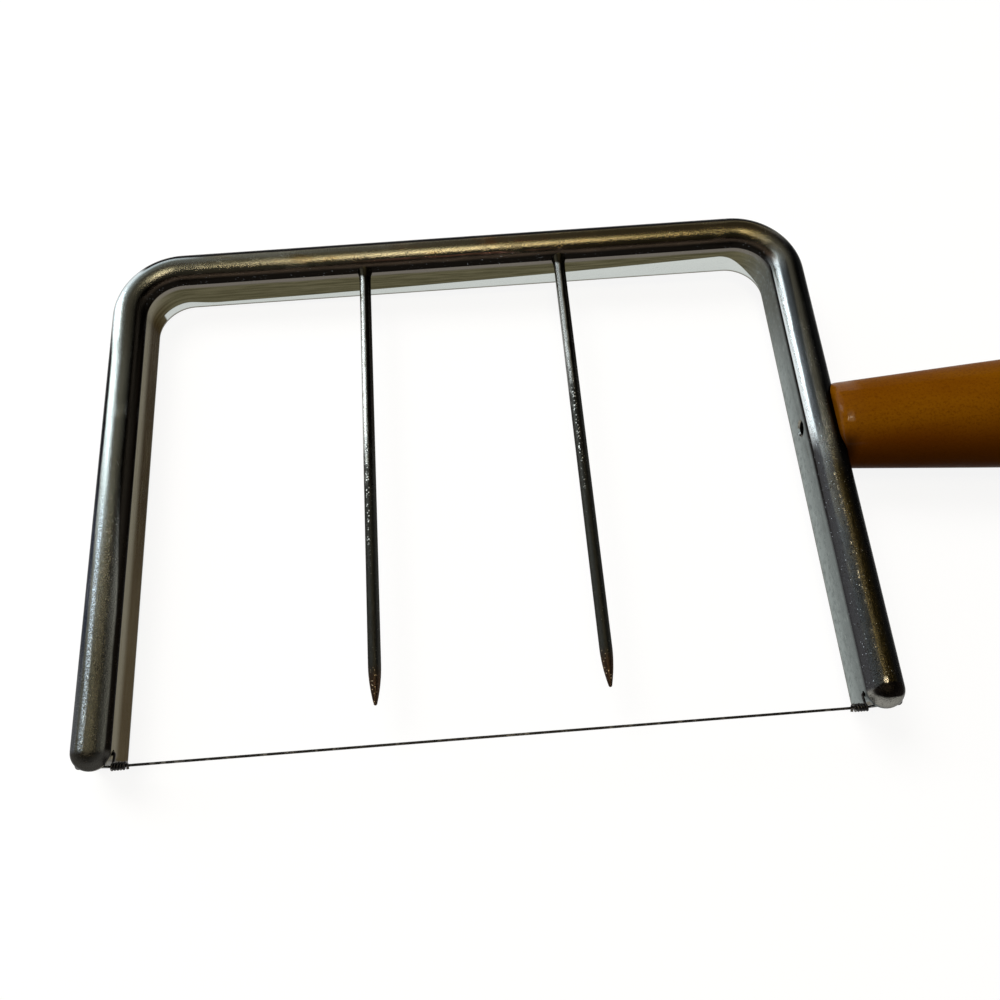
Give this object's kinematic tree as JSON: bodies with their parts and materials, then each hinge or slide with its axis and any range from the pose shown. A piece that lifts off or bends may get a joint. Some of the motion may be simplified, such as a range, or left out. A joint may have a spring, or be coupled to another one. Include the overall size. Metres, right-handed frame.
{
  "type": "wire cheese slicer",
  "caption": "Bow-shaped metal frame with a wire across its open side, pins that steady the cheese, and a turned side handle.",
  "frame": {"origin": "on the flat outer side of the top bar, midway along it and halfway through its depth", "axes": "+X along the cutting wire towards the handle, +Y from the wire up to the top bar and out of its outer side, +Z from the flat back of the frame to its rounded front"},
  "size_m": [0.2303, 0.0948, 0.023],
  "materials": {
    "chrome": "old chrome plate, polished, dulled and finely pitted",
    "chrome_pin": "old chrome plate on drawn wire",
    "wire": "dark drawn steel wire",
    "resin": "polished cast resin, butterscotch, with faint wear",
    "stud_steel": "dull steel"
  },
  "bodies": {
    "root": {"frame": "chrome", "tine_left": "chrome_pin", "tine_right": "chrome_pin", "cutting_wire": "wire", "handle": "resin", "handle_stud": "stud_steel"}
  },
  "joints": []
}
